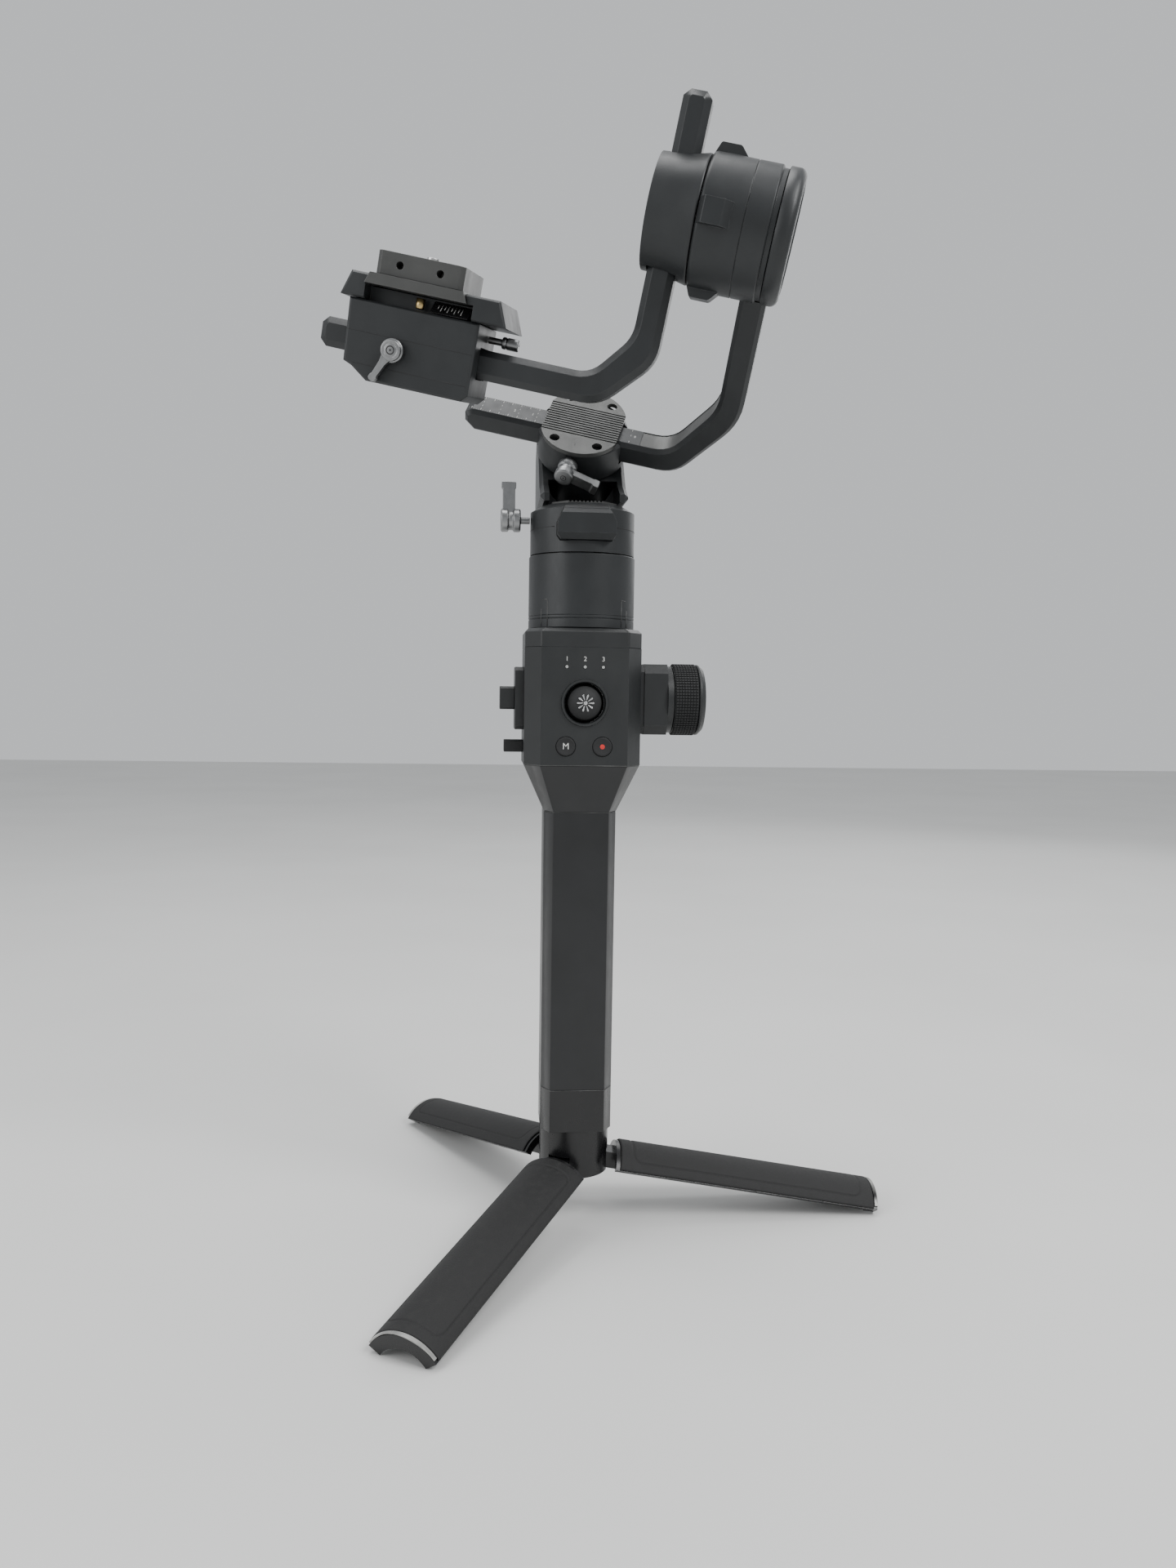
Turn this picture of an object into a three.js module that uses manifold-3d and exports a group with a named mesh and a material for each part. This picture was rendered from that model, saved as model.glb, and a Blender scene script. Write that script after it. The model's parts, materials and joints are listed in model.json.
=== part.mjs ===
// Three-axis camera gimbal on a battery grip with a folding mini tripod.
// Millimetres, +Z up, with the operator's side towards -Y. The origin is at table level, under the middle
// of the whole gimbal. Everything is drawn about the grip's own axis and then moved by CENTRE.
// The roll frame and the tilt frame are turned groups: in each one the motor's own axis is a frame axis.

import * as THREE from 'three';
import { mergeVertices } from 'three/addons/utils/BufferGeometryUtils.js';
import Module from 'manifold-3d';

const wasm = await Module();
wasm.setup();

// ---------------------------------------------------------------- driving dimensions

const CENTRE = 20.27; // how far the middle of the whole gimbal is to the right of the grip's axis
const GAP = 0.3; // clearance between pieces that touch or move past each other
const FINE = 44; // facets on a large round piece
const COARSE = 20; // facets on a small round piece

const GRIP = { width: 38.4, depth: 39, bevel: 4.6, bevelDepth: 8, wall: 2.5, endTop: 75, top: 225.5 };
const CABLE_WAY = 13; // radius of the passage from the grip into the housing
const HUB = { radius: 19, bottom: 26, top: 52 };
const SCREW = { radius: 3.1, head: 5, bottom: 37.5, shoulder: 41, top: 60 }; // a quarter-inch screw
const HOUSING = { width: 61.4, depth: 62, bevel: 8, bevelDepth: 12, wall: 3, bottom: 251, seam: 312, top: 322 };
const PAN = { radius: 28.3, motorTop: 360.5 };
const PAN_CLAMP = { radius: 27.8, bottom: 361, top: 386.5, lever: 379.5 };

const LEG = {
  spread: 80, // degrees from straight down when the tripod stands
  length: 160,
  outer: 20.6,
  inner: 16.6,
  tipInner: 14,
  skin: 21.6,
  halfAngle: 57,
  pivotRadius: 12,
  pivotHeight: 32.1,
  root: 10.5,
  tongue: 11.4,
  barrel: 4.5,
  pin: 1.6,
  tip: 6,
};

const ROLL = { height: 432.5, offset: 1, lean: 50, sag: -16.5, radius: 24, bottom: -20.5 };
const ROLL_MOTOR = { radius: 21.5, wall: 2.7, back: -41 };
const BAR = { half: 8, top: -2.6, bottom: -15.6 };
const TILT = { x: 62, z: 120, turn: -37.5, radius: 28.6 };
const ROD = { half: 7.5, bottom: -86.5, top: -73, end: -182 };
const STAGE = { x: -135, left: -166, right: -104, front: -18.5, bottom: -98, top: -63 };

// ---------------------------------------------------------------- materials

function satin(color, roughness, metalness) {
  return new THREE.MeshStandardMaterial({ color, roughness, metalness });
}

const finishes = {
  grip: () => satin(0x101112, 0.42, 0.0),
  gloss: () => satin(0x08090a, 0.16, 0.0),
  shell: () => satin(0x1b1d1e, 0.5, 0.0),
  anodised: () => satin(0x25282a, 0.42, 0.6),
  plate: () => satin(0x3a3b39, 0.45, 0.7),
  rubber: () => satin(0x121212, 0.85, 0.0),
  silver: () => satin(0x8d8f90, 0.35, 0.9),
  steel: () => satin(0xa4a6a8, 0.3, 1.0),
  copper: () => satin(0x8a5a34, 0.45, 0.9),
  board: () => satin(0x1d4a2c, 0.6, 0.0),
  cell: () => satin(0x2a5f86, 0.5, 0.0),
  lens: () => satin(0xb8bab6, 0.3, 0.0),
};

// ---------------------------------------------------------------- solids

// A closed body for joining and cutting, from any closed three.js geometry.
function solid(geometry) {
  const bare = geometry.clone();
  bare.deleteAttribute('normal');
  bare.deleteAttribute('uv');
  const merged = mergeVertices(bare, 1e-4);
  const position = merged.attributes.position;
  const index = merged.index.array;
  const kept = [];
  const a = new THREE.Vector3();
  const b = new THREE.Vector3();
  const c = new THREE.Vector3();
  let volume = 0;
  for (let i = 0; i < index.length; i += 3) {
    const [p, q, r] = [index[i], index[i + 1], index[i + 2]];
    if (p === q || q === r || r === p) continue;
    kept.push(p, q, r);
    a.fromBufferAttribute(position, p);
    b.fromBufferAttribute(position, q);
    c.fromBufferAttribute(position, r);
    volume += a.dot(b.cross(c));
  }
  if (volume < 0) kept.reverse();
  return new wasm.Manifold(new wasm.Mesh({
    numProp: 3,
    vertProperties: new Float32Array(position.array),
    triVerts: new Uint32Array(kept),
  }));
}

function box(x0, x1, y0, y1, z0, z1) {
  const geometry = new THREE.BoxGeometry(x1 - x0, y1 - y0, z1 - z0);
  return solid(geometry.translate((x0 + x1) / 2, (y0 + y1) / 2, (z0 + z1) / 2));
}

// Points on a straight run are left out, so that walls and lids share every edge.
function shapeOf(points) {
  const corners = points.filter(([x, y], i) => {
    const [x0, y0] = points[(i + points.length - 1) % points.length];
    const [x1, y1] = points[(i + 1) % points.length];
    return Math.abs((x - x0) * (y1 - y) - (y - y0) * (x1 - x)) > 1e-6;
  });
  return new THREE.Shape(corners.map(([x, y]) => new THREE.Vector2(x, y)));
}

// An outline in X and Y, raised from z0 to z1.
function prism(points, z0, z1) {
  const geometry = new THREE.ExtrudeGeometry(shapeOf(points), { depth: z1 - z0, bevelEnabled: false });
  return solid(geometry.translate(0, 0, z0));
}

// An outline in X and Z, as wide as 2 * half about y = 0, with its long edges bevelled.
function sidePrism(points, half, bevel = 0) {
  const geometry = new THREE.ExtrudeGeometry(shapeOf(points), {
    depth: 2 * (half - bevel),
    bevelEnabled: bevel > 0,
    bevelThickness: bevel,
    bevelSize: bevel,
    bevelOffset: -bevel,
    bevelSegments: 1,
  });
  return solid(geometry.translate(0, 0, bevel - half).rotateX(Math.PI / 2));
}

// A profile of [radius, height] pairs turned about Z.
function turned(profile, facets = FINE) {
  const points = profile.map(([r, z]) => new THREE.Vector2(r, z));
  return solid(new THREE.LatheGeometry(points, facets).rotateX(Math.PI / 2));
}

function rod(radius, z0, z1, facets = COARSE) {
  return turned([[0, z0], [radius, z0], [radius, z1], [0, z1]], facets);
}

function tube(inner, outer, z0, z1, facets = FINE) {
  return turned([[inner, z0], [outer, z0], [outer, z1], [inner, z1], [inner, z0]], facets);
}

// Two outlines with the same number of points, joined by straight walls.
function loft(low, z0, high, z1) {
  const n = low.length;
  const positions = [];
  low.forEach(([x, y]) => positions.push(x, y, z0));
  high.forEach(([x, y]) => positions.push(x, y, z1));
  const index = [];
  for (let i = 0; i < n; i += 1) {
    const j = (i + 1) % n;
    index.push(i, j, n + j, i, n + j, n + i);
  }
  for (let i = 1; i < n - 1; i += 1) {
    index.push(0, i + 1, i);
    index.push(n, n + i, n + i + 1);
  }
  const geometry = new THREE.BufferGeometry();
  geometry.setAttribute('position', new THREE.Float32BufferAttribute(positions, 3));
  geometry.setIndex(index);
  return solid(geometry);
}

const degrees = THREE.MathUtils.degToRad;
const alongX = (body) => body.rotate([0, 90, 0]);
const alongY = (body) => body.rotate([-90, 0, 0]);

function octagon(width, depth, bevel, bevelDepth = bevel) {
  const [x, y] = [width / 2, depth / 2];
  return [
    [-x + bevel, -y], [x - bevel, -y], [x, -y + bevelDepth], [x, y - bevelDepth],
    [x - bevel, y], [-x + bevel, y], [-x, y - bevelDepth], [-x, -y + bevelDepth],
  ];
}

function arc(cx, cy, radius, fromDegrees, toDegrees, steps) {
  const points = [];
  for (let i = 0; i <= steps; i += 1) {
    const t = degrees(fromDegrees + ((toDegrees - fromDegrees) * i) / steps);
    points.push([cx + radius * Math.cos(t), cy + radius * Math.sin(t)]);
  }
  return points;
}

// A path of straight runs whose inner corners are rounded: [x, y, radius of the bend].
function rounded(corners, steps = 5) {
  const points = [];
  corners.forEach(([x, y, run = 0], i) => {
    if (run === 0) {
      points.push([x, y]);
      return;
    }
    const before = corners[(i + corners.length - 1) % corners.length];
    const after = corners[(i + 1) % corners.length];
    const corner = new THREE.Vector2(x, y);
    const start = new THREE.Vector2(before[0], before[1]).sub(corner).setLength(run).add(corner);
    const end = new THREE.Vector2(after[0], after[1]).sub(corner).setLength(run).add(corner);
    const bend = new THREE.QuadraticBezierCurve(start, corner, end).getPoints(steps);
    bend.forEach((p) => points.push([p.x, p.y]));
  });
  return points;
}

const joined = (...bodies) => bodies.reduce((sum, body) => sum.add(body));
const cut = (body, ...cutters) => cutters.reduce((rest, cutter) => rest.subtract(cutter), body);

function place(name, body, finish, parent) {
  const { vertProperties, triVerts } = body.getMesh();
  const geometry = new THREE.BufferGeometry();
  geometry.setAttribute('position', new THREE.BufferAttribute(new Float32Array(vertProperties), 3));
  geometry.setIndex(new THREE.BufferAttribute(new Uint32Array(triVerts), 1));
  const faceted = geometry.toNonIndexed();
  faceted.computeVertexNormals();
  const mesh = new THREE.Mesh(faceted, finishes[finish]());
  mesh.name = name;
  parent.add(mesh);
}

// ---------------------------------------------------------------- frames

const gimbal = new THREE.Group();

const rollPlane = new THREE.Group(); // Z is the roll motor's axis, before the roll turn
rollPlane.position.set(0, ROLL.offset, ROLL.height);
rollPlane.rotation.x = degrees(ROLL.lean);
gimbal.add(rollPlane);

const rollFrame = new THREE.Group(); // X runs along the roll arm's bar
rollFrame.rotation.z = degrees(ROLL.sag);
rollPlane.add(rollFrame);

const tiltFixed = new THREE.Group(); // X is the tilt motor's axis
tiltFixed.position.set(TILT.x, 0, TILT.z);
tiltFixed.rotation.x = degrees(TILT.turn);
rollFrame.add(tiltFixed);

// ---------------------------------------------------------------- folding tripod

function tripodHub() {
  const body = rod(HUB.radius, HUB.bottom, HUB.top, FINE);
  const half = LEG.tongue / 2 + 2 * GAP;
  const room = LEG.barrel + 0.8;
  const [near, far] = [LEG.pivotRadius - room, HUB.radius + 2];
  const slot = box(near, far, -half, half, HUB.bottom - 1, LEG.pivotHeight + room);
  const pinHole = alongY(rod(LEG.pin + GAP, -12, 12, 12)).translate([LEG.pivotRadius, 0, LEG.pivotHeight]);
  const cutters = [
    rod(SCREW.head + GAP, HUB.bottom - 1, SCREW.shoulder + 0.2),
    rod(SCREW.radius + GAP, SCREW.shoulder, HUB.top + 1),
  ];
  for (const azimuth of [0, 120, 240]) cutters.push(slot.add(pinHole).rotate([0, 0, azimuth]));
  place('tripod_hub', cut(body, ...cutters), 'gloss', gimbal);
}

// The leg is drawn folded, hanging from its pivot. Its arch is a third of the folded handle's tube.
function leg(label, azimuth) {
  const swing = new THREE.Group();
  swing.rotation.z = degrees(azimuth);
  const hinge = new THREE.Group();
  hinge.position.set(LEG.pivotRadius, 0, LEG.pivotHeight);
  hinge.rotation.y = -degrees(LEG.spread);
  swing.add(hinge);
  gimbal.add(swing);

  const arch = (inner, outer, half, steps) => [
    ...arc(-LEG.pivotRadius, 0, outer, -half, half, steps),
    ...arc(-LEG.pivotRadius, 0, inner, half, -half, steps),
  ];
  const shell = prism(arch(LEG.inner, LEG.outer, LEG.halfAngle, 16), -LEG.length, -LEG.root);
  const half = LEG.tongue / 2;
  const barrel = alongY(rod(LEG.barrel, -half, half));
  const tongue = box(-LEG.barrel, LEG.barrel, -half, half, -LEG.root - 12, 0);
  const pinHole = alongY(rod(LEG.pin + GAP, -half - 1, half + 1, 12));
  const tip = prism(arch(LEG.tipInner, LEG.outer, LEG.halfAngle, 16), -LEG.length, LEG.tip - LEG.length);
  const pad = prism(arch(LEG.outer + GAP, LEG.skin, LEG.halfAngle - 1, 16), 2 - LEG.length, -LEG.root - 2);
  place(`leg_${label}`, cut(joined(shell, tip, barrel, tongue), pinHole), 'gloss', hinge);
  place(`leg_pad_${label}`, pad, 'rubber', hinge);
  place(`leg_pin_${label}`, alongY(rod(LEG.pin, -11, 11, 12)), 'steel', hinge);
}

// ---------------------------------------------------------------- battery grip

const CELL = { radius: 8.1, x: 8.4, bottom: 79, top: 214 };

function grip() {
  const stem = rod(SCREW.radius, SCREW.bottom, SCREW.top);
  const head = rod(SCREW.head, SCREW.bottom, SCREW.shoulder);
  place('tripod_screw', joined(stem, head), 'steel', gimbal);

  const outline = octagon(GRIP.width, GRIP.depth, GRIP.bevel, GRIP.bevelDepth);
  const thread = rod(SCREW.radius + GAP, HUB.top - 1, SCREW.top + 0.5);
  place('grip_end', cut(prism(outline, HUB.top, GRIP.endTop), thread), 'gloss', gimbal);

  const [innerWidth, innerDepth] = [GRIP.width - 2 * GRIP.wall, GRIP.depth - 2 * GRIP.wall];
  const inside = octagon(innerWidth, innerDepth, GRIP.bevel - 1, GRIP.bevelDepth - 1);
  const sleeve = cut(prism(outline, GRIP.endTop, GRIP.top), prism(inside, GRIP.endTop - 1, GRIP.top + 1));
  place('grip_tube', sleeve, 'grip', gimbal);

  const column = rod(CELL.radius, CELL.bottom, CELL.top, 16);
  const plate = (z) => box(-2 * CELL.radius, 2 * CELL.radius, -CELL.radius, CELL.radius, z - 1, z + 1);
  const cells = [column.translate([-CELL.x, 0, 0]), column.translate([CELL.x, 0, 0])];
  place('battery_pack', joined(...cells, plate(CELL.bottom), plate(CELL.top)), 'cell', gimbal);

  const top = octagon(HOUSING.width, HOUSING.depth, HOUSING.bevel, HOUSING.bevelDepth);
  const cableWay = rod(CABLE_WAY, GRIP.top - 1, HOUSING.bottom + 1);
  const collar = cut(loft(outline, GRIP.top, top, HOUSING.bottom), cableWay);
  place('grip_collar', collar, 'grip', gimbal);
}

// ---------------------------------------------------------------- control housing

const FRONT = -HOUSING.depth / 2;
const SIDE = HOUSING.width / 2;
const JOYSTICK = { z: 283.5, pivotY: FRONT + 7, hole: 11.4 };
const BUTTON = { x: 9.5, z: 261, radius: 5 };
const LIGHT = { z: 302, pitch: 9.4, radius: 0.8 };
const TRIGGER = { y: -FRONT + 3.6, z: 291, half: 8 };

function housing() {
  const rim = octagon(HOUSING.width, HOUSING.depth, HOUSING.bevel, HOUSING.bevelDepth);
  const outer = prism(rim, HOUSING.bottom, HOUSING.seam);
  const inner = octagon(
    HOUSING.width - 2 * HOUSING.wall,
    HOUSING.depth - 2 * HOUSING.wall,
    HOUSING.bevel - 1.2,
    HOUSING.bevelDepth - 1.2,
  );
  const walls = cut(outer, prism(inner, HOUSING.bottom - 1, HOUSING.seam + 1));
  const through = (radius, x, z) => alongY(rod(radius, FRONT - 1, FRONT + 6)).translate([x, 0, z]);

  const front = cut(
    walls,
    box(-SIDE - 1, SIDE + 1, 0, -FRONT + 1, HOUSING.bottom - 1, HOUSING.seam + 1),
    through(JOYSTICK.hole, 0, JOYSTICK.z),
    through(BUTTON.radius + GAP, -BUTTON.x, BUTTON.z),
    through(BUTTON.radius + GAP, BUTTON.x, BUTTON.z),
    ...[-1, 0, 1].map((i) => through(LIGHT.radius + GAP, i * LIGHT.pitch, LIGHT.z)),
  );
  const bezel = alongY(turned([
    [10.4, FRONT + 2.7], [JOYSTICK.hole + 0.2, FRONT + 2.7], [JOYSTICK.hole + 0.2, FRONT + 0.2],
    [12.4, FRONT + 0.2], [12, FRONT - 1.2], [11, FRONT - 1.2], [10.4, FRONT - 0.4], [10.4, FRONT + 2.7],
  ], 32)).translate([0, 0, JOYSTICK.z]);
  place('housing_front', front.add(bezel), 'shell', gimbal);

  const ear = (x) => box(x - 1, x + 1, -FRONT - 1, -FRONT + 6, TRIGGER.z - 3.5, TRIGGER.z + 3.5);
  const rear = joined(
    cut(walls, box(-SIDE - 1, SIDE + 1, FRONT - 1, 0, HOUSING.bottom - 1, HOUSING.seam + 1)),
    ear(-TRIGGER.half - 1.5),
    ear(TRIGGER.half + 1.5),
    alongX(rod(1.4, -TRIGGER.half - 2, TRIGGER.half + 2, 12)).translate([0, TRIGGER.y, TRIGGER.z]),
  );
  place('housing_rear', rear, 'shell', gimbal);

  const crown = octagon(HOUSING.width - 4, HOUSING.depth - 4, HOUSING.bevel, HOUSING.bevelDepth);
  const chamfer = HOUSING.top - 2;
  const cap = joined(prism(rim, HOUSING.seam, chamfer), loft(rim, chamfer, crown, HOUSING.top));
  place('housing_cap', cut(cap, rod(12, HOUSING.seam - 1, HOUSING.top + 1)), 'shell', gimbal);

  const board = box(-20, 20, 4, 5.6, HOUSING.bottom + 5, HOUSING.seam - 6);
  place('main_board', board, 'board', gimbal);

  const guide = alongY(rod(LIGHT.radius, FRONT, FRONT + 5, 12));
  const light = (i) => guide.translate([i * LIGHT.pitch, 0, LIGHT.z]);
  const strip = box(-12, 12, FRONT + 3.4, FRONT + 5, LIGHT.z - 1.6, LIGHT.z + 1.6);
  place('status_lens', joined(strip, light(-1), light(0), light(1)), 'lens', gimbal);
}

function controls() {
  const ring = alongY(tube(10.5, 12.5, JOYSTICK.pivotY - 1, JOYSTICK.pivotY + 1, 24));
  place('joystick_gimbal', ring.translate([0, 0, JOYSTICK.z]), 'steel', gimbal);

  // The skirt is part of a ball about the pivot, so it fills the bezel at every tilt.
  const ball = arc(0, JOYSTICK.pivotY, 10, 20, -48, 8);
  const stick = turned([
    [0, ball[0][1]], ...ball, [6.4, FRONT - 3.2], [5.4, FRONT - 4.6], [4.8, FRONT - 5.4], [2.4, FRONT - 6],
    [0, FRONT - 6.1],
  ], 32);
  place('joystick_cap', alongY(stick).translate([0, 0, JOYSTICK.z]), 'rubber', gimbal);

  const button = (name, x) => {
    const r = BUTTON.radius;
    const body = turned([
      [0, FRONT - 0.8], [r - 0.6, FRONT - 0.8], [r, FRONT - 0.3], [r, FRONT + 3.4], [r + 1, FRONT + 3.4],
      [r + 1, FRONT + 4.8], [0, FRONT + 4.8],
    ], 24);
    place(name, alongY(body).translate([x, 0, BUTTON.z]), 'rubber', gimbal);
  };
  button('mode_button', -BUTTON.x);
  button('record_button', BUTTON.x);

  // The trigger's outline is drawn in Y and Z about its pin.
  const blade = [
    [-1.5, -1.5], [0, 2], [3, 1.6], [5, -3], [6.4, -10], [7, -18], [8, -26], [10.4, -33], [9.2, -34.6],
    [6.6, -33.6], [3.8, -26], [2.8, -18], [2, -10],
  ];
  const paddle = sidePrism(blade, TRIGGER.half, 1).rotate([0, 0, 90]);
  const trigger = cut(joined(paddle, alongX(rod(3, -7.6, 7.6))), alongX(rod(1.7, -9, 9, 12)));
  place('trigger', trigger.translate([0, TRIGGER.y, TRIGGER.z]), 'shell', gimbal);
}

// ---------------------------------------------------------------- focus wheel and side fittings

const FOCUS = { z: 285.7, radius: 19.3 };

function focusWheel() {
  const flange = prism(octagon(37, 30, 4), 0, 2.4);
  const block = prism(octagon(37.5, 32, 5), 2.4, 15);
  const neck = rod(18, 15, 18.2, FINE);
  const spindle = rod(4, 18, 30);
  const mount = joined(flange, block, neck, spindle);
  place('focus_mount', alongX(mount).translate([SIDE, 0, FOCUS.z]), 'shell', gimbal);

  const r = FOCUS.radius;
  const wheel = turned([
    [4 + GAP, 18.6], [r - 1.2, 18.6], [r - 1.2, 31.5], [r - 0.2, 32], [r - 0.2, 33], [r - 2.4, 35.4],
    [0, 35.4], [0, 31], [4 + GAP, 31], [4 + GAP, 18.6],
  ]);
  place('focus_wheel', alongX(wheel).translate([SIDE, 0, FOCUS.z]), 'shell', gimbal);
  const band = alongX(tube(r - 1.2 + GAP, r, 19, 31.2)).translate([SIDE, 0, FOCUS.z]);
  place('focus_band', band, 'rubber', gimbal);
}

function sideFittings() {
  const rail = alongX(prism(octagon(33, 26, 2), -SIDE - 4.7, -SIDE)).translate([0, 0, 285.4]);
  place('accessory_rail', rail, 'shell', gimbal);
  const latch = alongX(prism(octagon(12.2, 16, 1.2), -SIDE - 12.6, -SIDE - 4.8)).translate([0, 0, 285.5]);
  place('accessory_latch', latch, 'shell', gimbal);
  const plug = alongX(prism(octagon(6.4, 12, 1), -SIDE - 10.2, -SIDE - 0.1)).translate([0, 0, 259.8]);
  place('port_plug', plug, 'rubber', gimbal);
}

// ---------------------------------------------------------------- pan motor and pan arm

function panMotor() {
  const r = PAN.radius;
  const cup = turned([
    [8, HOUSING.top], [r - 0.6, HOUSING.top], [r, HOUSING.top + 0.6], [r, PAN.motorTop], [r - 3, PAN.motorTop],
    [r - 3, HOUSING.top + 3], [8, HOUSING.top + 3], [8, HOUSING.top],
  ]);
  place('pan_motor_housing', cup, 'anodised', gimbal);
  place('pan_stator', tube(9, 19, HOUSING.top + 3, 350, 24), 'copper', gimbal);
  const bell = turned([
    [0, HOUSING.top + 4], [4, HOUSING.top + 4], [4, 352], [20, 352], [20, 329], [24.2, 329], [24.2, 357],
    [12, 357], [12, PAN_CLAMP.bottom - GAP], [0, PAN_CLAMP.bottom - GAP],
  ]);
  place('pan_rotor', bell, 'steel', gimbal);
}

const SLIDE = { bottom: 367, top: 384, front: -33, rear: 48 };

// The pan arm's bar in X and Z: narrow on top, widest at mid height. The clearance makes the clamp's tunnel.
function slideSection(clearance) {
  const half = [13.2, 15, 15, 11].map((x) => x + 0.7 * clearance);
  const level = [SLIDE.bottom - clearance, 369.4, 376, SLIDE.top + clearance];
  const right = half.map((x, i) => [x, level[i]]);
  return [...right, ...right.map(([x, z]) => [-x, z]).reverse()];
}

function panClamp() {
  const r = PAN_CLAMP.radius;
  const block = turned([
    [0, PAN_CLAMP.bottom], [r, PAN_CLAMP.bottom], [r, PAN_CLAMP.top - 3], [r - 5, PAN_CLAMP.top],
    [0, PAN_CLAMP.top],
  ]);
  place('pan_clamp', cut(block, sidePrism(slideSection(GAP), r + 1)), 'anodised', gimbal);

  const grooves = [];
  for (let x = -8; x <= 8; x += 2) {
    grooves.push(box(x - 0.5, x + 0.5, -21, 21, PAN_CLAMP.top + 0.9, PAN_CLAMP.top + 2));
  }
  const plate = prism(octagon(34, 38, 8), PAN_CLAMP.top, PAN_CLAMP.top + 1.5);
  place('pan_clamp_plate', cut(plate, ...grooves), 'plate', gimbal);

  // Lever: a hub on a thin axle, with a flat paddle standing up from it.
  const hub = alongX(rod(6.1, -43.6, -33)).translate([0, 0, PAN_CLAMP.lever]);
  const axle = alongX(rod(1.8, -35, -r - GAP, 12)).translate([0, 0, PAN_CLAMP.lever]);
  const paddle = box(-43.5, -35.8, -2.4, 2.4, PAN_CLAMP.lever, PAN_CLAMP.lever + 20);
  place('pan_lever', joined(hub, axle, paddle), 'silver', gimbal);
}

// The roll motor sits in this cradle, so the cradle is cut by the leaning motor's cylinders.
function panArm() {
  const leaning = (body) => body.rotate([ROLL.lean, 0, 0]).translate([0, ROLL.offset, ROLL.height]);
  const side = [
    [SLIDE.front, 370], [SLIDE.front, 380], [SLIDE.front + 6, SLIDE.top], [SLIDE.rear, SLIDE.top],
    [SLIDE.rear, SLIDE.bottom], [SLIDE.front + 3, SLIDE.bottom],
  ];
  const bar = sidePrism(slideSection(0), 60).intersect(sidePrism(side, 20).rotate([0, 0, 90]));
  const profile = [
    [-12, 388.7], [30.3, 388.7], [30.3, SLIDE.bottom], [46, SLIDE.bottom], [52, 376], [53, 421], [35, 440],
    [31, 437], [0.4, 399.4], [-12, 393],
  ];
  const cradle = sidePrism(profile, 23.2, 2).rotate([0, 0, 90]);
  const recess = box(-18.5, 18.5, -20, 20, 388, 402);
  const body = cut(
    cradle,
    recess,
    leaning(rod(ROLL_MOTOR.radius + GAP, ROLL_MOTOR.back - GAP, -20, FINE)),
    leaning(rod(ROLL.radius + 2, ROLL.bottom - GAP, 10, FINE)),
  );
  place('pan_arm', joined(body, bar), 'anodised', gimbal);
}

// ---------------------------------------------------------------- roll motor, clamp and arm

function rollMotor() {
  const { radius, back, wall } = ROLL_MOTOR;
  const rim = ROLL.bottom - 2 * GAP;
  const cup = turned([
    [0, back], [radius, back], [radius, rim], [radius - wall, rim], [radius - wall, back + 3], [0, back + 3],
  ]);
  place('roll_motor_housing', cup, 'anodised', rollPlane);
  place('roll_stator', tube(5, 13.5, back + 3 + GAP, -25, 24), 'copper', rollPlane);
  const bell = turned([
    [0, -36], [4, -36], [4, -24.4], [14.5, -24.4], [14.5, -35], [18.3, -35], [18.3, ROLL.bottom - GAP],
    [0, ROLL.bottom - GAP],
  ]);
  place('roll_rotor', bell, 'steel', rollFrame);
}

const DISC = { flat: 20.3, lobe: 21.5, shift: 5, hole: 2.7, pitch: 1.9, ridges: 6 };
const ROLL_LEVER = { x: -1, z: -8, angle: 16 };

function rollClamp() {
  const r = ROLL.radius;
  const base = turned([
    [0, ROLL.bottom], [r - 1, ROLL.bottom], [r, ROLL.bottom + 1], [r, BAR.top - 1.4], [r - 1.4, BAR.top],
    [0, BAR.top],
  ]);
  const slot = box(-r - 1, r + 1, -BAR.half - GAP, BAR.half + GAP, BAR.bottom - GAP, 1);
  const leverHole = alongY(rod(2 + GAP, -r - 1, -18, 12)).translate([ROLL_LEVER.x, 0, ROLL_LEVER.z]);
  place('roll_clamp', cut(base, slot, leverHole), 'anodised', rollFrame);

  const reach = (Math.acos(DISC.flat / DISC.lobe) * 180) / Math.PI;
  const outline = [
    ...arc(0, DISC.shift, DISC.lobe, reach, 180 - reach, 18),
    ...arc(0, -DISC.shift, DISC.lobe, 180 + reach, 360 - reach, 18),
  ];
  const cutters = [];
  for (let i = -DISC.ridges; i <= DISC.ridges; i += 1) {
    const y = i * DISC.pitch;
    cutters.push(box(-30, 30, y - 0.42, y + 0.42, -0.7, 1));
  }
  for (const x of [-11.5, 11.5]) {
    for (const y of [-17.5, 17.5]) cutters.push(rod(DISC.hole, -4, 1, 16).translate([x, y, 0]));
  }
  place('roll_clamp_plate', cut(prism(outline, BAR.top + GAP, 0), ...cutters), 'plate', rollFrame);

  const hub = alongY(turned([
    [0, -38], [4.6, -38], [5, -37.4], [5, -34.5], [4.2, -34], [4.2, -33], [5, -32.5], [5, -26.6], [2, -26.2],
    [2, -20], [0, -20],
  ], 24));
  const paddle = box(2, 18.5, -36.5, -31.5, -3, 3).rotate([0, ROLL_LEVER.angle, 0]);
  const lever = joined(hub, paddle).translate([ROLL_LEVER.x, 0, ROLL_LEVER.z]);
  place('roll_lever', lever, 'silver', rollFrame);
}

// Corners of the roll arm along its outer side and then back along its inner side.
const ARM = { left: -64, inner: 69, outer: 81.5, bend: 29, top: 96 };

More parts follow.
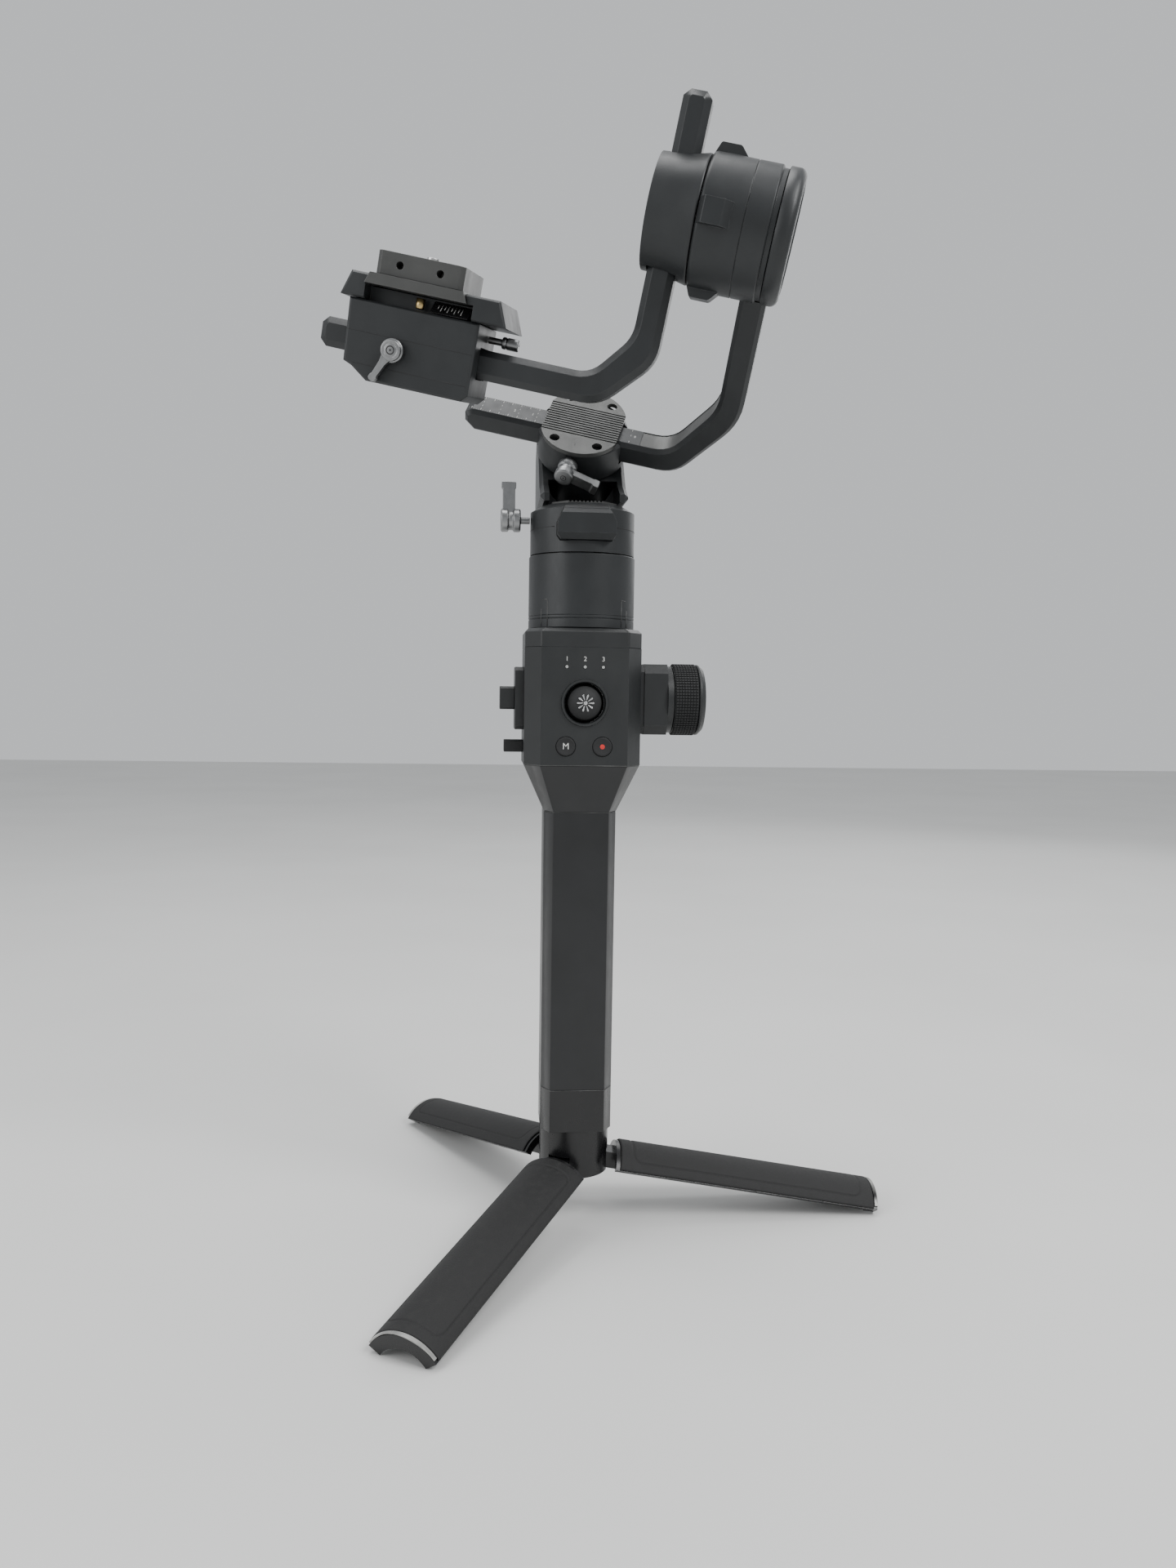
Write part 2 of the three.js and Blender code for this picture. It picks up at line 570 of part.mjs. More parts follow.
function rollArm() {
  const outline = rounded([
    [ARM.left, BAR.bottom + 5], [ARM.left + 5, BAR.bottom], [53, BAR.bottom, 10], [ARM.outer, 24, 12],
    [ARM.outer, ARM.top], [ARM.inner, ARM.top], [ARM.inner, ARM.bend, 9], [47.5, BAR.top, 9],
    [ARM.left + 4, BAR.top], [ARM.left, BAR.top - 3],
  ]);
  const motor = alongX(rod(TILT.radius + GAP, -20, 40, FINE)).translate([TILT.x, 0, TILT.z]);

  // The inner face has a shallow channel with a cover strip let into it.
  const bends = rounded([[30, BAR.top], [47.5, BAR.top, 9], [ARM.inner, ARM.bend, 9], [ARM.inner, 62]]);
  const line = [[32, BAR.top], ...bends.slice(1, -1), [ARM.inner, 60]];
  const offset = (distance) => line.map(([x, z], i) => {
    const [x0, z0] = line[Math.max(i - 1, 0)];
    const [x1, z1] = line[Math.min(i + 1, line.length - 1)];
    const length = Math.hypot(x1 - x0, z1 - z0);
    return [x + (distance * (z1 - z0)) / length, z - (distance * (x1 - x0)) / length];
  });
  const strip = (shallow, deep) => [...offset(shallow), ...offset(deep).reverse()];
  const channel = sidePrism(strip(-1, 1.2), 5.6);
  const cover = sidePrism(strip(0.3, 0.9), 5.3);
  place('roll_arm', cut(sidePrism(outline, BAR.half, 2), motor, channel), 'anodised', rollFrame);
  place('arm_inlay', cover, 'plate', rollFrame);
}

// ---------------------------------------------------------------- tilt motor

function tiltMotor() {
  const r = TILT.radius;
  const barrel = turned([
    [0, 11], [r - 3.6, 11], [r - 3.6, -17.2], [r - 0.6, -17.2], [r, -16.6], [r, 13.8], [r - 1.2, 14],
    [r - 1.2, 16.5], [0, 16.5],
  ]);
  const foot = [[-17, -7], [-1, -7], [-1, 7], [-17, 7]];
  const crest = [[-15, -5], [-5, -5], [-5, 5], [-15, 5]];
  const lug = loft(foot, r - 2, crest, r + 3.6).rotate([0, -90, 0]);
  const lugs = [0, 90, 180, 270].map((turn) => lug.rotate([0, 0, turn]));
  place('tilt_motor_housing', alongX(joined(barrel, ...lugs)), 'anodised', tiltFixed);
  const cap = turned([[0, 16.8], [r, 16.8], [r, 22], [r - 1, 23.4], [r - 3.8, 24.6], [0, 24.6]]);
  place('tilt_motor_cap', alongX(cap), 'anodised', tiltFixed);
  place('tilt_stator', alongX(tube(6, 17.5, -11, 10.7, 24)), 'copper', tiltFixed);
  const bell = turned([
    [0, 8], [5, 8], [5, -12], [19, -12], [19, 7], [24.4, 7], [24.4, -17], [0, -17],
  ]);
  place('tilt_rotor', alongX(bell), 'steel', tiltFixed);
}

const POST = { left: -36, right: -23, top: 50 };

function tiltClamp() {
  const body = turned([
    [0, -39.5], [24.6, -39.5], [25.4, -27.3], [27.4, -18.2], [27, -17.6], [0, -17.6],
  ]);
  const g = GAP;
  const tunnel = box(POST.left - g, POST.right + g, -ROD.half - g, ROD.half + g, -30, 30);
  place('tilt_clamp', cut(alongX(body), tunnel), 'anodised', tiltFixed);

  const hub = alongY(rod(5, 27, 36));
  const stub = alongY(rod(2.6, 25.6, 28, 12));
  const paddle = box(-3, 3, 31, 36, -20, 0);
  const middle = (POST.left + POST.right) / 2;
  place('tilt_lever', joined(hub, stub, paddle).translate([middle, 0, 0]), 'silver', tiltFixed);
}

function tiltBracket() {
  const outline = rounded([
    [POST.left, POST.top - 3], [POST.left + 3, POST.top], [POST.right - 3, POST.top],
    [POST.right, POST.top - 3], [POST.right, -63, 8], [-46, ROD.bottom, 9], [ROD.end + 3, ROD.bottom],
    [ROD.end, ROD.bottom + 3], [ROD.end, ROD.top - 3], [ROD.end + 3, ROD.top], [-52, ROD.top, 7],
    [POST.left, -54, 6],
  ]);
  place('tilt_bracket', sidePrism(outline, ROD.half, 3), 'anodised', tiltFixed);
}

// ---------------------------------------------------------------- camera stage

function cameraStage() {
  const { left, right, front, bottom, top } = STAGE;
  const g = GAP;
  const block = sidePrism([
    [left, top], [left + 1, -91], [left + 5, -92.5], [left + 13, bottom], [right - 3, bottom],
    [right, bottom + 3], [right, top],
  ], -front, 1);
  const tunnel = box(left - 5, right + 5, -ROD.half - g, ROD.half + g, ROD.bottom - g, ROD.top + g);
  place('base_clamp', cut(block, tunnel), 'anodised', tiltFixed);

  const lever = { x: -141.5, z: -82.5, angle: 27 };
  const head = alongY(tube(1.2, 5.4, front - 5.5, front - 1.5, 24));
  const seat = alongY(rod(4.4, front - 4, front - g, 24));
  const arm = sidePrism([[-2.4, -2], [-1.7, -15], [-1, -16.6], [1, -16.6], [1.7, -15], [2.4, -2]], 2);
  const handle = joined(head, seat, arm.translate([0, front - 3.6, 0])).rotate([0, lever.angle, 0]);
  place('base_lever', handle.translate([lever.x, 0, lever.z]), 'silver', tiltFixed);

  // Receiver: winged outside, with a dovetail channel along Y and a recess under the plate's front lip.
  const middle = STAGE.x;
  const wings = [[-170.4, top + g], [-166.3, -51.7], [-96, -51.7], [-91.5, top + g]];
  const channel = [[middle - 24.4, -56.4], [middle + 24.4, -56.4], [middle + 22.4, -51], [middle - 22.4, -51]];
  const recess = box(middle - 24, middle + 27, front - 2, front + 8, top - 1, -56);
  const receiver = cut(sidePrism(wings, 19.5, 1), sidePrism(channel, 22), recess);
  place('plate_receiver', receiver, 'anodised', tiltFixed);

  const slab = sidePrism([[-24, -56], [24, -56], [22, -51.2], [-22, -51.2]], 22);
  const hole = rod(3.5, -57, -38, 16);
  const seatHole = rod(7, -57, -53.6, 24);
  place('camera_plate', cut(slab, hole, seatHole).translate([middle, 0, 0]), 'plate', tiltFixed);

  const riser = prism(octagon(41, 38, 2), -51, -40.8);
  const tapped = (x) => alongY(rod(1.7, -20, -11, 12)).translate([x, 0, -46]);
  const drilled = cut(riser, hole, tapped(-9.5), tapped(9.5));
  place('camera_riser', drilled.translate([middle, 0, 0]), 'plate', tiltFixed);

  const screw = joined(rod(3.1, -55.8, -38.4, 16), rod(6.6, -55.8, -54, 24));
  place('camera_screw', screw.translate([middle, 0, 0]), 'steel', tiltFixed);

  const knob = alongX(joined(rod(2.8, -97, -89, 16), rod(1.6, right + g, -96, 12)));
  place('plate_knob', knob.translate([0, 4, -68]), 'steel', tiltFixed);
}

// ---------------------------------------------------------------- assembly

tripodHub();
leg('front', -120);
leg('right', 0);
leg('rear', 120);
grip();
housing();
controls();
focusWheel();
sideFittings();
panMotor();
panClamp();
panArm();
rollMotor();
rollClamp();
rollArm();
tiltMotor();
tiltClamp();
tiltBracket();
cameraStage();

gimbal.position.x = -CENTRE;
const part = new THREE.Group();
part.add(gimbal);

export default part;
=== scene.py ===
# The looks of a three-axis camera gimbal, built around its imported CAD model. Metres, +Z up.
import math

import bmesh
import bpy
from mathutils import Matrix, Vector
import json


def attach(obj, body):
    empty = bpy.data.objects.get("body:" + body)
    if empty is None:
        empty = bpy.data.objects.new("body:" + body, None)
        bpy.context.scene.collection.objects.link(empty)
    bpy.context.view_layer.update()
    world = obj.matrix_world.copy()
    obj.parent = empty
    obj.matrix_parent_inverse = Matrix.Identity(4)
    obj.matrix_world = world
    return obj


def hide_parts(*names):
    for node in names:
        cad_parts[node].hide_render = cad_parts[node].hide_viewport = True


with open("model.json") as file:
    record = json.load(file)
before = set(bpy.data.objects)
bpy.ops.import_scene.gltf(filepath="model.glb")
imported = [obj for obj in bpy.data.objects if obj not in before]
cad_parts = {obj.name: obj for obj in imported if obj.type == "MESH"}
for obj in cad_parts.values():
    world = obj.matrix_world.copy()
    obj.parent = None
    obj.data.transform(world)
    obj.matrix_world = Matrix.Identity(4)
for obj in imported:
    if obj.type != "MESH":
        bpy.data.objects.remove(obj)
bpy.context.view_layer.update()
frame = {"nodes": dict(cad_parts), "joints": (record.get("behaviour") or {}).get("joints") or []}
nodes = frame["nodes"]
joints = {j["name"]: j for j in frame["joints"]}
MM = 0.001


# ---------------------------------------------------------------- frames

def axes_at(origin, x_axis, z_axis):
    """A local frame in metres with the given X and Z directions."""
    x = Vector(x_axis).normalized()
    z = Vector(z_axis).normalized()
    turned = Matrix((x, z.cross(x), z)).transposed().to_4x4()
    turned.translation = Vector(origin)
    return turned


def joint_frame(place, x_joint, z_joint):
    return axes_at(joints[place]["pos_m"], joints[x_joint]["axis"], joints[z_joint]["axis"])


def shift(x, y, z):
    """A move in millimetres."""
    return Matrix.Translation((x * MM, y * MM, z * MM))


def spin(axis, degrees):
    return Matrix.Rotation(math.radians(degrees), 4, axis)


HERE = Matrix.Identity(4)
GRIP_AXIS = Matrix.Translation((joints["pan_turn"]["pos_m"][0], joints["pan_turn"]["pos_m"][1], 0))
ROLL = joint_frame("roll_turn", "roll_arm_slide", "roll_turn")
TILT = joint_frame("tilt_turn", "tilt_turn", "bracket_slide")
ALONG_X = spin("Y", 90)   # turns a lathe's own Z onto X
TOWARDS_FRONT = spin("X", 90)   # turns a lathe's own Z onto -Y
LEG_SPREAD = 80   # degrees from folded down to standing
LEG_LENGTH = 160
LEG_PIVOT = 12   # from the grip's axis to a leg's hinge
ROUND = 128   # steps round the large turned shapes


# ---------------------------------------------------------------- materials

class Look:
    """A node-built material: colours mixed by noise, roughness variation and bump."""

    def __init__(self, name):
        self.material = bpy.data.materials.new(name)
        self.material.use_nodes = True
        self.tree = self.material.node_tree
        self.shader = self.tree.nodes["Principled BSDF"]
        self.coords = self.tree.nodes.new("ShaderNodeTexCoord").outputs["Object"]
        self.height = None

    def link(self, source, target):
        self.tree.links.new(source, target)

    def noise(self, per_metre, detail=3.0, stretch=(1, 1, 1), rough=0.55):
        mapping = self.tree.nodes.new("ShaderNodeMapping")
        mapping.inputs["Scale"].default_value = stretch
        self.link(self.coords, mapping.inputs["Vector"])
        node = self.tree.nodes.new("ShaderNodeTexNoise")
        node.inputs["Scale"].default_value = per_metre
        node.inputs["Detail"].default_value = detail
        node.inputs["Roughness"].default_value = rough
        self.link(mapping.outputs["Vector"], node.inputs["Vector"])
        return node.outputs["Fac"]

    def cells(self, per_metre):
        node = self.tree.nodes.new("ShaderNodeTexVoronoi")
        node.inputs["Scale"].default_value = per_metre
        self.link(self.coords, node.inputs["Vector"])
        return node.outputs["Distance"]

    def ramp(self, value, low, high, start=0.3, end=0.7):
        node = self.tree.nodes.new("ShaderNodeMapRange")
        node.inputs["From Min"].default_value = start
        node.inputs["From Max"].default_value = end
        node.inputs["To Min"].default_value = low
        node.inputs["To Max"].default_value = high
        self.link(value, node.inputs["Value"])
        return node.outputs["Result"]

    def mix(self, factor, low, high):
        """A colour between two; each is a colour or another node's output."""
        node = self.tree.nodes.new("ShaderNodeMix")
        node.data_type = "RGBA"
        self.link(factor, node.inputs["Factor"])
        for socket, colour in ((node.inputs[6], low), (node.inputs[7], high)):
            if isinstance(colour, tuple):
                socket.default_value = (*colour, 1)
            else:
                self.link(colour, socket)
        return node.outputs[2]

    def multiply(self, a, b):
        node = self.tree.nodes.new("ShaderNodeMath")
        node.operation = "MULTIPLY"
        self.link(a, node.inputs[0])
        self.link(b, node.inputs[1])
        return node.outputs[0]

    def bump(self, height, depth_mm, strength=1.0):
        node = self.tree.nodes.new("ShaderNodeBump")
        node.inputs["Distance"].default_value = depth_mm * MM
        node.inputs["Strength"].default_value = strength
        self.link(height, node.inputs["Height"])
        if self.height is not None:
            self.link(self.height, node.inputs["Normal"])
        self.height = node.outputs["Normal"]
        self.link(self.height, self.shader.inputs["Normal"])

    def edges(self, width_mm):
        """1 on sharp edges and 0 on flats, broken up by noise as rubbed edges are."""
        rounded = self.tree.nodes.new("ShaderNodeBevel")
        rounded.samples = 4
        rounded.inputs["Radius"].default_value = width_mm * MM
        plain = self.tree.nodes.new("ShaderNodeNewGeometry")
        dot = self.tree.nodes.new("ShaderNodeVectorMath")
        dot.operation = "DOT_PRODUCT"
        self.link(rounded.outputs["Normal"], dot.inputs[0])
        self.link(plain.outputs["Normal"], dot.inputs[1])
        sharp = self.ramp(dot.outputs["Value"], 1.0, 0.0, 0.80, 0.985)
        rubbed = self.ramp(self.noise(160, 4), 0.0, 1.0, 0.42, 0.62)
        return self.multiply(sharp, rubbed)

    def set(self, **inputs):
        for key, value in inputs.items():
            socket = self.shader.inputs[key.replace("_", " ")]
            if hasattr(value, "links"):
                self.link(value, socket)
            else:
                socket.default_value = (*value, 1) if isinstance(value, tuple) else value
        return self.material


def dark_finish(name, dark, light, rough, metallic=0.0, grain=0.02, grain_scale=2600, worn=None):
    """Black plastic or anodised metal: fine grain, faint cloudiness, handling smears and rubbed edges."""
    look = Look(name)
    cloud = look.noise(35, 4)
    colour = look.mix(look.ramp(cloud, 0, 1), dark, light)
    if worn:
        colour = look.mix(look.ramp(look.edges(0.5), 0, 0.75, 0, 1), colour, worn)
    look.bump(look.noise(grain_scale, 2), grain)
    smears = look.noise(90, 5, (1, 1, 0.4), 0.7)
    return look.set(
        Base_Color=colour,
        Roughness=look.ramp(smears, rough - 0.06, rough + 0.08),
        Metallic=metallic,
    )


def rubber_finish(name, dark, light, per_metre, depth):
    """Matt rubber with a pebbled skin and a little dust."""
    look = Look(name)
    dust = look.ramp(look.noise(240, 6, rough=0.7), 0, 1, 0.5, 0.72)
    look.bump(look.cells(per_metre), depth)
    look.bump(look.noise(per_metre * 2.5, 2), depth * 0.5)
    return look.set(Base_Color=look.mix(dust, dark, light), Roughness=look.ramp(dust, 0.72, 0.92, 0, 1))


def silver_finish(name, dark, light, rough, stretch=(1, 1, 1)):
    """Blasted and anodised aluminium or plain steel, slightly darker in places."""
    look = Look(name)
    tone = look.ramp(look.noise(120, 5), 0, 1)
    look.bump(look.noise(3500, 2, stretch), 0.012)
    return look.set(
        Base_Color=look.mix(tone, dark, light), Metallic=1.0,
        Roughness=look.ramp(look.noise(400, 4, stretch), rough - 0.07, rough + 0.1),
    )


def print_finish(name, colour, rough=0.6):
    """Printed ink, a little uneven."""
    look = Look(name)
    uneven = look.ramp(look.noise(900, 3), 0, 1)
    faded = tuple(0.75 * c for c in colour)
    return look.set(Base_Color=look.mix(uneven, faded, colour), Roughness=rough)


GRIP = dark_finish("satin black grip", (0.005, 0.0055, 0.006), (0.009, 0.0095, 0.0105), 0.34,
                   grain=0.012, grain_scale=1800)
GLOSS = dark_finish("gloss black", (0.004, 0.004, 0.0045), (0.007, 0.007, 0.0075), 0.26,
                    grain=0.006, grain_scale=1200, worn=(0.05, 0.05, 0.052))
SHELL = dark_finish("moulded black shell", (0.0085, 0.0095, 0.01), (0.013, 0.0145, 0.015), 0.42,
                    grain=0.03, grain_scale=3200, worn=(0.05, 0.052, 0.055))
METAL = dark_finish("black anodised", (0.015, 0.0165, 0.0175), (0.021, 0.023, 0.0245), 0.42,
                    metallic=0.25, grain_scale=3800, worn=(0.085, 0.09, 0.092))
# Grey anodised plates; also painted highlight lines on the grip's seams and the pan bar's chamfers.
PLATE_AND_HIGHLIGHT_GREY = dark_finish("grey anodised and painted highlight", (0.05, 0.051, 0.05), (0.07, 0.071, 0.069), 0.42,
                    metallic=0.5, grain_scale=3800, worn=(0.2, 0.2, 0.2))
# Near-black for the dark joint lines, and painted shade for the gaps and sockets of the lever screws.
JOINT_BLACK_AND_SHADE = dark_finish("joint black and painted recess shade", (0.004, 0.004, 0.004), (0.007, 0.007, 0.008), 0.6)
RUBBER = rubber_finish("pad rubber", (0.007, 0.007, 0.0072), (0.02, 0.02, 0.0195), 1500, 0.09)
KNOB_RUBBER = rubber_finish("control rubber", (0.008, 0.0085, 0.009), (0.013, 0.013, 0.0135), 3200, 0.03)
SILVER = silver_finish("satin silver", (0.2, 0.203, 0.206), (0.3, 0.303, 0.306), 0.38)
STEEL = silver_finish("plain steel", (0.5, 0.5, 0.5), (0.62, 0.62, 0.62), 0.26, (1, 1, 8))
CHROME = silver_finish("chrome", (0.62, 0.62, 0.62), (0.74, 0.74, 0.74), 0.16)
COPPER = silver_finish("copper winding", (0.45, 0.2, 0.1), (0.6, 0.3, 0.16), 0.35, (1, 1, 12))
BRASS = silver_finish("brass pin", (0.42, 0.3, 0.13), (0.55, 0.42, 0.2), 0.3)
WHITE_INK = print_finish("white print", (0.62, 0.62, 0.6))
GREY_INK = print_finish("grey print", (0.2, 0.2, 0.2))
RED_INK = print_finish("red print", (0.62, 0.03, 0.025), 0.4)
BOARD = print_finish("circuit board", (0.05, 0.2, 0.09), 0.5)
CELL = print_finish("cell wrap", (0.06, 0.18, 0.36), 0.4)
LENS = print_finish("milky lens", (0.4, 0.41, 0.4), 0.25)
WORN = dark_finish("worn lip", (0.01, 0.01, 0.01), (0.55, 0.55, 0.53), 0.28,
                   metallic=0.4, grain=0.01, grain_scale=900)

NODE_LOOKS = {
    GRIP: ["grip_tube", "grip_collar"],
    GLOSS: ["tripod_hub", "grip_end", "leg_front", "leg_right", "leg_rear"],
    SHELL: ["housing_front", "housing_rear", "housing_cap", "focus_mount", "focus_wheel", "accessory_rail",
            "accessory_latch", "trigger"],
    METAL: ["pan_motor_housing", "pan_clamp", "pan_arm", "roll_motor_housing", "roll_clamp", "roll_arm",
            "tilt_motor_housing", "tilt_motor_cap", "tilt_clamp", "tilt_bracket", "base_clamp",
            "plate_receiver"],
    PLATE_AND_HIGHLIGHT_GREY: ["pan_clamp_plate", "roll_clamp_plate", "arm_inlay", "camera_plate", "camera_riser"],
    RUBBER: ["leg_pad_front", "leg_pad_right", "leg_pad_rear"],
    KNOB_RUBBER: ["focus_band", "joystick_cap", "mode_button", "record_button", "port_plug"],
    SILVER: ["pan_lever", "roll_lever", "tilt_lever", "base_lever"],
    STEEL: ["leg_pin_front", "leg_pin_right", "leg_pin_rear", "tripod_screw", "joystick_gimbal", "pan_rotor",
            "roll_rotor", "tilt_rotor", "camera_screw", "plate_knob"],
    COPPER: ["pan_stator", "roll_stator", "tilt_stator"],
    BOARD: ["main_board"],
    CELL: ["battery_pack"],
    LENS: ["status_lens"],
}
BEVEL_MM = {
    "grip_tube": 0.6, "grip_collar": 0.6, "housing_front": 0.7, "housing_rear": 0.7, "housing_cap": 0.7,
    "pan_clamp_plate": 0.15, "roll_clamp_plate": 0.18, "arm_inlay": 0.1, "status_lens": 0.05,
    "joystick_gimbal": 0.1, "tripod_hub": 0.1, "grip_end": 0.2, "roll_arm": 0.4, "tilt_bracket": 0.2,
    "pan_arm": 0.25,
}
USUAL_BEVEL_MM = 0.3


def soften(piece, bevel_mm, angle=32):
    """Rounds a piece's sharp edges and shades it smooth."""
    weld = piece.modifiers.new("weld", "WELD")
    weld.merge_threshold = 0.005 * MM
    edge = piece.modifiers.new("edges", "BEVEL")
    edge.width = bevel_mm * MM
    edge.segments = 2
    edge.limit_method = "ANGLE"
    edge.angle_limit = math.radians(angle)
    normals = piece.modifiers.new("normals", "WEIGHTED_NORMAL")
    normals.weight = 80
    normals.keep_sharp = True
    for face in piece.data.polygons:
        face.use_smooth = True


for material, names in NODE_LOOKS.items():
    for name in names:
        piece = nodes[name]
        piece.data.materials.clear()
        piece.data.materials.append(material)
        soften(piece, BEVEL_MM.get(name, USUAL_BEVEL_MM))


# ---------------------------------------------------------------- building pieces

def finish_mesh(name, bm, place, body, material, bevel_mm=0.0):
    """Turns a bmesh drawn in millimetres into a piece that rides on a body."""
    bmesh.ops.recalc_face_normals(bm, faces=bm.faces)
    mesh = bpy.data.meshes.new(name)
    bm.to_mesh(mesh)
    bm.free()
    mesh.transform(place @ Matrix.Scale(MM, 4))
    mesh.materials.append(material)
    piece = bpy.data.objects.new(name, mesh)
    bpy.context.scene.collection.objects.link(piece)
    if bevel_mm:
        soften(piece, bevel_mm)
    else:
        for face in mesh.polygons:
            face.use_smooth = True
    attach(piece, body)
    return piece


def circle(radius, steps=32):
    turn = [2 * math.pi * i / steps for i in range(steps)]
    return [(radius * math.cos(t), radius * math.sin(t)) for t in turn]


def add_lathe(bm, profile, steps=96, place=HERE):
    """A closed profile of (radius, height) turned about Z. Radius 0 closes it on the axis."""
    rings = []
    for r, z in profile:
        if r == 0:
            rings.append([bm.verts.new(place @ Vector((0, 0, z)))] * steps)
        else:
            rings.append([bm.verts.new(place @ Vector((x, y, z))) for x, y in circle(r, steps)])
    closed = profile[0][0] != 0
    for k in range(len(rings) if closed else len(rings) - 1):
        low, high = rings[k], rings[(k + 1) % len(rings)]
        for i in range(steps):
            j = (i + 1) % steps
            corners = list(dict.fromkeys([low[i], low[j], high[j], high[i]]))
            if len(corners) > 2:
                bm.faces.new(corners)


def add_prism(bm, outline, low, high, place=HERE):
    """An outline in X and Y raised along Z."""
    bottom = [bm.verts.new(place @ Vector((x, y, low))) for x, y in outline]
    top = [bm.verts.new(place @ Vector((x, y, high))) for x, y in outline]
    bm.faces.new(bottom[::-1])
    bm.faces.new(top)
    n = len(outline)
    for i in range(n):
        j = (i + 1) % n
        bm.faces.new((bottom[i], bottom[j], top[j], top[i]))


def add_box(bm, x, y, z, place=HERE):
    add_prism(bm, [(x[0], y[0]), (x[1], y[0]), (x[1], y[1]), (x[0], y[1])], z[0], z[1], place)


def lettering(name, words, size_mm, place, body, material):
    """Raised print that reads along the local X with local Y up."""
    curve = bpy.data.curves.new(name, "FONT")
    curve.body = words
    curve.size = size_mm * MM
    curve.extrude = 0.04 * MM
    curve.align_x = "CENTER"
    curve.align_y = "CENTER"
    curve.materials.append(material)
    piece = bpy.data.objects.new(name, curve)
    bpy.context.scene.collection.objects.link(piece)
    piece.matrix_world = place
    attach(piece, body)


# ---------------------------------------------------------------- folding legs

def leg_frame(azimuth):
    """A leg's own frame, in which its arch is centred on Z and it hangs along -Z."""
    pivot = Matrix.Translation((LEG_PIVOT * MM, 0, joints["right_leg_fold"]["pos_m"][2]))
    return GRIP_AXIS @ spin("Z", azimuth) @ pivot @ spin("Y", -LEG_SPREAD) @ shift(-LEG_PIVOT, 0, 0)


def groove_depth(across, along):
    """Depth in millimetres of the rounded outline groove at a point of the leg's skin."""
    half_width, start, end, corner = 15.5, 20, 151, 5
    deepest, spread = 0.45, 0.42
    x = max(abs(across) - (half_width - corner), 0)
    middle = (start + end) / 2
    y = max(abs(along - middle) - ((end - start) / 2 - corner), 0)
    distance = corner - math.hypot(x, y)
    if x == 0 and y == 0:
        distance = min(half_width - abs(across), (end - start) / 2 - abs(along - middle))
    return deepest * math.exp(-((distance / spread) ** 2))


def leg_skin(label, azimuth):
    """The grained rubber skin over a leg, with its outline groove."""
    inner, outer = 20.9, 21.55
    start, end = 12.8, 157.8
    reach = 55.8   # degrees either side of the crown
    edge_drop, edge_width = 0.4, 0.7
    across_steps, along_steps = 120, 250
    bm = bmesh.new()
    shells = []
    for radius, detailed in ((outer, True), (inner, False)):
        rows = []
        for j in range(along_steps + 1):
            along = start + (end - start) * j / along_steps
            row = []
            for i in range(across_steps + 1):
                angle = math.radians(-reach + 2 * reach * i / across_steps)
                r = radius
                if detailed:
                    across = angle * radius
                    edge = min(along - start, end - along, (math.radians(reach) - abs(angle)) * radius)
                    r -= groove_depth(across, along) + edge_drop * max(0, 1 - edge / edge_width) ** 2
                row.append(bm.verts.new((r * math.cos(angle), r * math.sin(angle), -along)))
            rows.append(row)
        shells.append(rows)
    top, under = shells
    for j in range(along_steps):
        for i in range(across_steps):
            bm.faces.new((top[j][i], top[j + 1][i], top[j + 1][i + 1], top[j][i + 1]))
            bm.faces.new((under[j][i], under[j][i + 1], under[j + 1][i + 1], under[j + 1][i]))
    for j in range(along_steps):
        for i in (0, across_steps):
            bm.faces.new((top[j][i], top[j + 1][i], under[j + 1][i], under[j][i]))
    for i in range(across_steps):
        for j in (0, along_steps):
            bm.faces.new((top[j][i], top[j][i + 1], under[j][i + 1], under[j][i]))
    piece = finish_mesh(f"leg_skin_{label}", bm, leg_frame(azimuth), f"{label}_leg", RUBBER)
    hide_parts(f"leg_pad_{label}")


def leg_tip(label, azimuth):
    """The worn lip round the open end of a leg, thicker at the crown than at the sides."""
    bm = bmesh.new()
    steps = 40
    reach = 52   # degrees either side of the crown
    angles = [math.radians(-reach + 2 * reach * i / steps) for i in range(steps + 1)]
    outer = [(21.35 * math.cos(t), 21.35 * math.sin(t)) for t in angles]
    inner = [((20.75 - 0.25 * math.sin(5 * t)) * math.cos(t), (20.75 - 0.25 * math.sin(5 * t)) * math.sin(t))
             for t in reversed(angles)]
    add_prism(bm, outer + inner, -LEG_LENGTH - 0.15, -LEG_LENGTH + 1.9)
    finish_mesh(f"leg_lip_{label}", bm, leg_frame(azimuth), f"{label}_leg", WORN, 0.2)


for leg_label, leg_azimuth in (("front", -120), ("right", 0), ("rear", 120)):
    leg_skin(leg_label, leg_azimuth)
    leg_tip(leg_label, leg_azimuth)


# ---------------------------------------------------------------- control housing

FRONT_FACE = -31.0
REAR_FACE = 31
JOYSTICK_HEIGHT = 283.5
JOYSTICK_PIVOT = -24.0   # in Y, from the grip's axis
BUTTON_HEIGHT = 261
BUTTON_SIDE = 9.5
LEVEL_HEIGHT = 306
LEVEL_PITCH = 9.4


def on_front(x, z, proud=0.0):
    """A frame on the housing's front: local X to the right, local Y up, local Z out of the face."""
    return GRIP_AXIS @ shift(x, FRONT_FACE - proud, z) @ TOWARDS_FRONT


